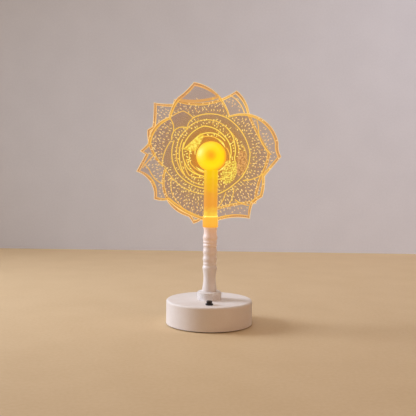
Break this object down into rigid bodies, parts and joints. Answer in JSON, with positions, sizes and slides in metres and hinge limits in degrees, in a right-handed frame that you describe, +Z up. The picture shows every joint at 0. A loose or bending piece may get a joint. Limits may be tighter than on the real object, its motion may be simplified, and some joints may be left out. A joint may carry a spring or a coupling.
{
  "type": "table lamp",
  "caption": "Cordless table lamp with a round base, turned stem, glowing tube and globe, and clear engraved rose plates that turn on a rear hub.",
  "frame": {"origin": "centre of the foot pad's underside, on the surface that the lamp stands on, on the axis of the column", "axes": "+Z up along the column, -Y towards the front with the switch and the globe, +X to the right seen from the front"},
  "size_m": [0.178, 0.104, 0.2928],
  "materials": {
    "black_rubber": "matt sheet",
    "off_white_moulding": "fine moulded texture, matt",
    "off_white_coat": "powder coat, matt",
    "black_plastic": "satin moulding",
    "steel": "turned or sheared, plated",
    "spring_steel": "drawn wire",
    "brass": "turned, satin",
    "cell_wrap": "foil pouch",
    "foam_tape": "double-sided foam",
    "circuit_board": "solder mask",
    "circuit_parts": "moulded packages",
    "white_board": "white solder mask",
    "light_chip": "phosphor under clear resin",
    "amber_socket": "translucent moulding",
    "amber_tube": "translucent extruded tube",
    "amber_globe": "frosted translucent moulding",
    "bright_ring": "clear amber moulding",
    "clear_acrylic": "polished sheet, laser-cut edges",
    "clear_bush": "polished moulding",
    "washer_fibre": "pressed fibre",
    "lead_insulation": "extruded sleeve"
  },
  "bodies": {
    "lamp": {"foot_pad": "black_rubber", "base_plate": "black_plastic", "base_shell": "off_white_moulding", "base_screws": "steel", "ballast_plate": "steel", "ballast_screws": "steel", "battery_tape": "foam_tape", "battery_pack": "cell_wrap", "control_board": "circuit_board", "board_screws": "steel", "board_chips": "circuit_parts", "usb_port": "steel", "switch_housing": "black_plastic", "switch_nut": "steel", "switch_terminals": "brass", "switch_spring": "spring_steel", "column_collar": "off_white_coat", "stem": "off_white_coat", "threaded_tube": "steel", "lock_washer": "steel", "column_nut": "steel", "socket": "amber_socket", "socket_nut": "brass", "socket_ring": "bright_ring", "light_tube": "amber_tube", "carrier_tube": "brass", "tube_led_strips": "white_board", "tube_led_chips": "light_chip", "globe": "amber_globe", "hub_block": "brass", "globe_led_board": "white_board", "globe_led_chips": "light_chip", "hub_spindle": "brass", "hub_flange": "brass", "light_bush": "clear_bush", "hub_led_board": "white_board", "hub_led_chips": "light_chip", "slip_washer": "washer_fibre", "plate_spacer": "clear_bush", "wave_washer": "spring_steel", "hub_cap": "off_white_coat", "cap_nut": "brass", "main_leads": "lead_insulation", "battery_leads": "lead_insulation", "switch_leads": "lead_insulation", "hub_leads": "lead_insulation"},
    "button": {"power_button": "black_plastic"},
    "front_rose": {"rose_plate_front": "clear_acrylic"},
    "rear_rose": {"rose_plate_rear": "clear_acrylic"}
  },
  "joints": [
    {"name": "button_press", "type": "slide", "parent": "lamp", "child": "button", "axis": [0, 0, -1], "range_m": [0, 0.0012], "stiffness_N_per_m": 600, "springref_m": -0.0015, "deforming": ["switch_spring"]},
    {"name": "front_rose_turn", "type": "hinge", "parent": "lamp", "child": "front_rose", "pos_m": [0, 0.0215, 0.2023], "axis": [0, -1, 0], "continuous": true},
    {"name": "rear_rose_turn", "type": "hinge", "parent": "lamp", "child": "rear_rose", "pos_m": [0, 0.0252, 0.2023], "axis": [0, -1, 0], "continuous": true}
  ]
}
